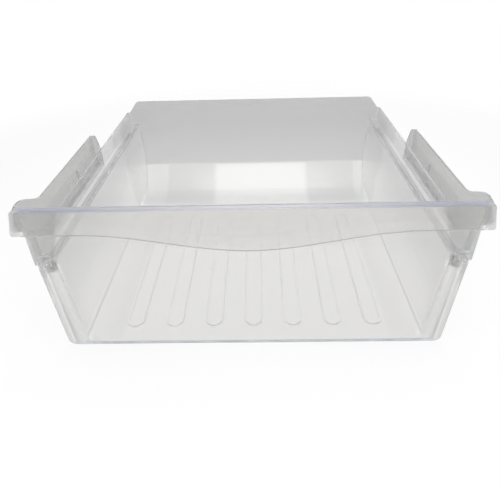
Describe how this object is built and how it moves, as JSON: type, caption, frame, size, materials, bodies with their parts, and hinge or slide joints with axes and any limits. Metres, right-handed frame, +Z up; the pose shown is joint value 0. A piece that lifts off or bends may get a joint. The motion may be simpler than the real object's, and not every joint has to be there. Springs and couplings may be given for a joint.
{
  "type": "freezer drawer",
  "caption": "Clear moulded freezer drawer: open bin with raised floor bars, side runner ledges, hooked front grip lip, wings behind it and a swept rear wall.",
  "frame": {"origin": "middle of the footprint of the whole drawer, at the height of the bin's underside", "axes": "+Z up, the front panel and its grip lip face -Y, +X to the right as seen from the front"},
  "size_m": [0.473, 0.4464, 0.186],
  "materials": {
    "clear_plastic": "clear, glossy"
  },
  "bodies": {
    "root": {"drawer": "clear_plastic"}
  },
  "joints": []
}
